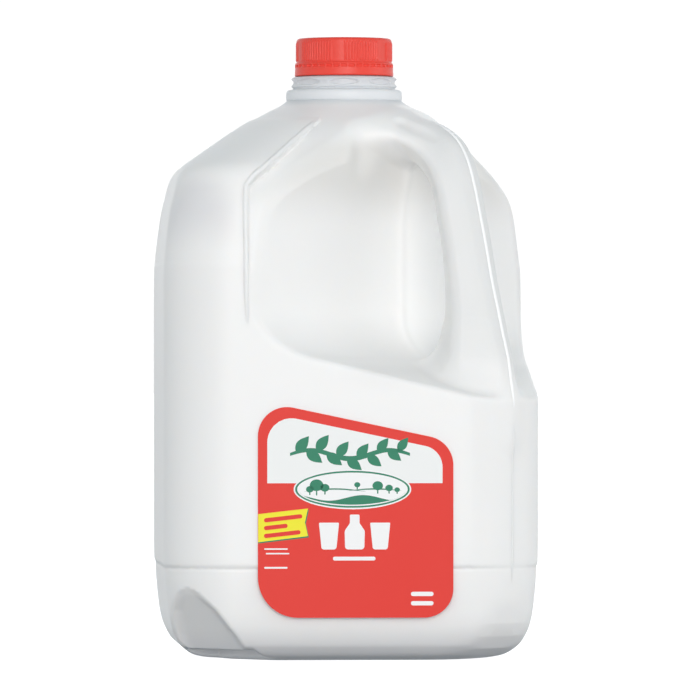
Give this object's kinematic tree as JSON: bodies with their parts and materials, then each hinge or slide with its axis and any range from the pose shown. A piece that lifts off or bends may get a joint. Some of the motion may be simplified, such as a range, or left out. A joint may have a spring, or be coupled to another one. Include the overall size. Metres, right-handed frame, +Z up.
{
  "type": "milk jug",
  "caption": "Square-bodied plastic jug full of milk, with a handle moulded into one corner, a screw cap with tear band, and a sloped front label.",
  "frame": {"origin": "middle of the base, on the surface the jug stands on, on the neck's axis", "axes": "+Z up along the neck, +X towards the corner with the handle; the label's face looks half-way between +X and -Y, and the XZ plane is the jug's parting plane"},
  "size_m": [0.1875, 0.1908, 0.2498],
  "materials": {
    "jug_plastic": "milky translucent blow-moulded plastic, satin, white with the milk behind it",
    "label_film": "printed plastic film, red with a pale window and simple coloured shapes",
    "cap_plastic": "red moulded plastic, satin"
  },
  "bodies": {
    "root": {"jug": "jug_plastic", "label": "label_film", "cap": "cap_plastic"}
  },
  "joints": []
}
